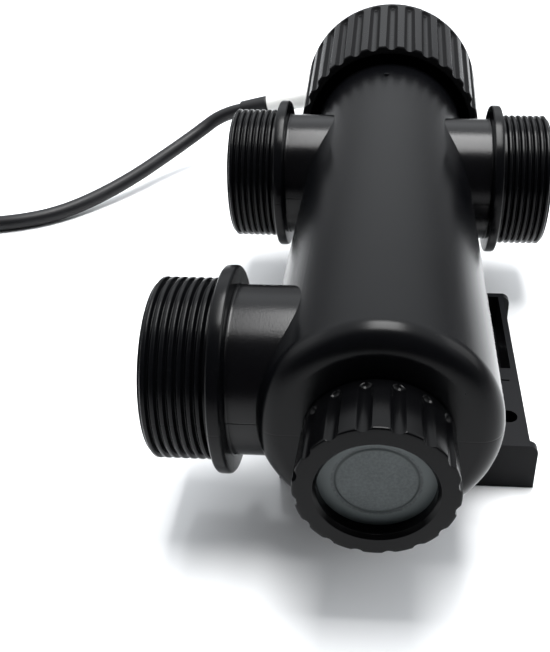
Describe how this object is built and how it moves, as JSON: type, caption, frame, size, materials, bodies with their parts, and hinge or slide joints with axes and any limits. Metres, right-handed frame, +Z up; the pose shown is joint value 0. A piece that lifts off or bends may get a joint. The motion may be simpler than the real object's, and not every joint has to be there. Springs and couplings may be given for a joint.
{
  "type": "uv clarifier",
  "caption": "In-line ultraviolet water clarifier: tube housing with threaded side spigots, screw-on inspection window, pull-out lamp head under a fluted collar, mains lead, mounting foot.",
  "frame": {"origin": "on the mounting bracket's underside, below the tube's axis and halfway along the bracket", "axes": "+Z up; +Y along the tube's axis from the inspection window to the lamp head; +X to the side with one spigot"},
  "size_m": [0.3351, 0.3266, 0.0871],
  "materials": {
    "body_plastic": "satin black moulded plastic, fine grain",
    "cap_plastic": "semi-gloss black moulded plastic",
    "frosted_window": "frosted",
    "quartz": "clear quartz",
    "lamp_quartz": "clear quartz lamp tube",
    "rubber_black": "matt black rubber",
    "cable_rubber": "black rubber sheath",
    "steel": "stainless steel",
    "brass_plated": "plated brass",
    "white_plastic": "white heat-resistant plastic",
    "grey_plastic": "grey plastic",
    "circuit_board": "green laminate",
    "components": "dark component bodies",
    "copper_lead": "white insulated lead"
  },
  "bodies": {
    "housing": {"housing": "body_plastic", "quartz_sleeve": "quartz", "sleeve_support": "grey_plastic", "sleeve_carrier": "body_plastic", "sleeve_o_ring": "rubber_black", "sleeve_nut": "grey_plastic", "mounting_bracket": "body_plastic", "saddle_screws": "steel"},
    "window_unit": {"window_disc": "frosted_window", "window_gasket": "rubber_black"},
    "window_ring": {"window_ring": "cap_plastic"},
    "lamp_head": {"head_body": "body_plastic", "head_o_ring": "rubber_black", "slip_ring": "grey_plastic", "end_cover": "body_plastic", "end_cover_gasket": "rubber_black", "end_cover_screws": "steel", "lamp_holder": "white_plastic", "lamp_holder_screws": "steel", "ballast_board": "circuit_board", "ballast_parts": "components", "board_pillars": "grey_plastic", "terminal_block": "white_plastic", "lamp_leads": "copper_lead", "gland_body": "white_plastic", "gland_locknut": "white_plastic", "gland_seal": "rubber_black", "strain_relief": "rubber_black", "cable_end": "cable_rubber", "mains_cable": "cable_rubber", "mains_cable_coil": "cable_rubber", "mains_cable_tail": "cable_rubber", "coil_tie": "rubber_black", "plug_relief": "rubber_black", "plug_body": "rubber_black", "plug_pins": "brass_plated"},
    "clamp_collar": {"clamp_collar": "cap_plastic"},
    "lamp": {"lamp_tubes": "lamp_quartz", "lamp_base": "white_plastic", "lamp_pins": "brass_plated"},
    "gland_nut": {"gland_nut": "white_plastic"}
  },
  "joints": [
    {"name": "window_ring_travel", "type": "slide", "parent": "housing", "child": "window_unit", "axis": [0, -1, 0], "range_m": [0, 0.0061]},
    {"name": "window_ring_turn", "type": "hinge", "parent": "window_unit", "child": "window_ring", "pos_m": [0, -0.0858, 0.0455], "axis": [0, -1, 0], "range_deg": [0, 1080]},
    {"name": "lamp_head_pull", "type": "slide", "parent": "housing", "child": "lamp_head", "axis": [0, 1, 0], "range_m": [0, 0.23]},
    {"name": "clamp_collar_turn", "type": "hinge", "parent": "lamp_head", "child": "clamp_collar", "pos_m": [0, 0.1595, 0.0455], "axis": [0, 1, 0], "range_deg": [0, 2430]},
    {"name": "lamp_unplug", "type": "slide", "parent": "lamp_head", "child": "lamp", "axis": [0, -1, 0], "range_m": [0, 0.007]},
    {"name": "gland_nut_turn", "type": "hinge", "parent": "lamp_head", "child": "gland_nut", "pos_m": [-0.03612, 0.207, 0.03749], "axis": [-0.9763, 0, -0.2164], "range_deg": [0, 180]}
  ],
  "couplings": [
    {"joint": "window_ring_travel", "follows": "window_ring_turn", "m_per_rad": 0.00031831}
  ]
}
